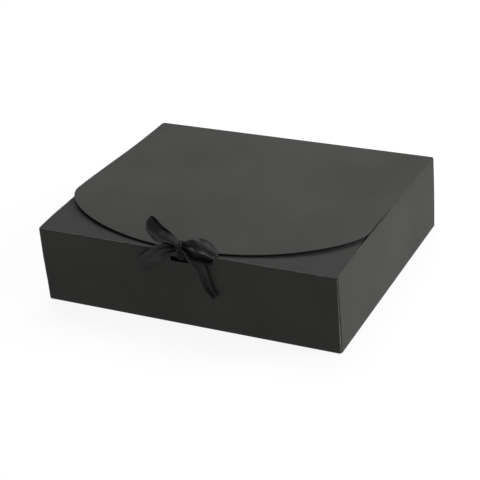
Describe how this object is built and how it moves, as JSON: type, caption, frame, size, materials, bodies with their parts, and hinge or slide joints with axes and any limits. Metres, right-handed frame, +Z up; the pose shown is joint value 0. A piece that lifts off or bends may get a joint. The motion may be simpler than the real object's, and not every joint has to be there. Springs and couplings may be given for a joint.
{
  "type": "folding card gift box with ribbon",
  "caption": "Creased card gift box with a back-hinged lid over an inner flap, tied at the front with a satin ribbon bow.",
  "frame": {"origin": "centre of the base's underside", "axes": "+X to the right seen from the front, +Y from the front wall to the hinged back wall, +Z up"},
  "size_m": [0.311, 0.2645, 0.1132],
  "materials": {
    "black_card": "matt black uncoated card",
    "ribbon_satin": "black satin"
  },
  "bodies": {
    "box": {"base_panel": "black_card", "front_wall": "black_card", "back_wall": "black_card", "left_outer_wall": "black_card", "left_wall_rim": "black_card", "left_inner_wall": "black_card", "front_left_tab": "black_card", "back_left_tab": "black_card", "right_outer_wall": "black_card", "right_wall_rim": "black_card", "right_inner_wall": "black_card", "front_right_tab": "black_card", "back_right_tab": "black_card", "ribbon_inner_run": "ribbon_satin"},
    "lid": {"lid": "black_card", "ribbon_knot": "ribbon_satin", "ribbon_left_loop": "ribbon_satin", "ribbon_right_loop": "ribbon_satin", "ribbon_left_tail": "ribbon_satin", "ribbon_right_tail": "ribbon_satin", "ribbon_front_strand": "ribbon_satin", "ribbon_lid_strand": "ribbon_satin"},
    "inner_flap": {"inner_flap": "black_card"}
  },
  "joints": [
    {"name": "lid_hinge", "type": "hinge", "parent": "box", "child": "lid", "pos_m": [0, 0.1277, 0.0787], "axis": [-1, 0, 0], "range_deg": [0, 180]},
    {"name": "inner_flap_hinge", "type": "hinge", "parent": "box", "child": "inner_flap", "pos_m": [0, -0.1277, 0.0787], "axis": [1, 0, 0], "range_deg": [0, 108]}
  ],
  "couplings": [
    {"joint": "inner_flap_hinge", "follows": "lid_hinge", "ratio": 0.6}
  ]
}
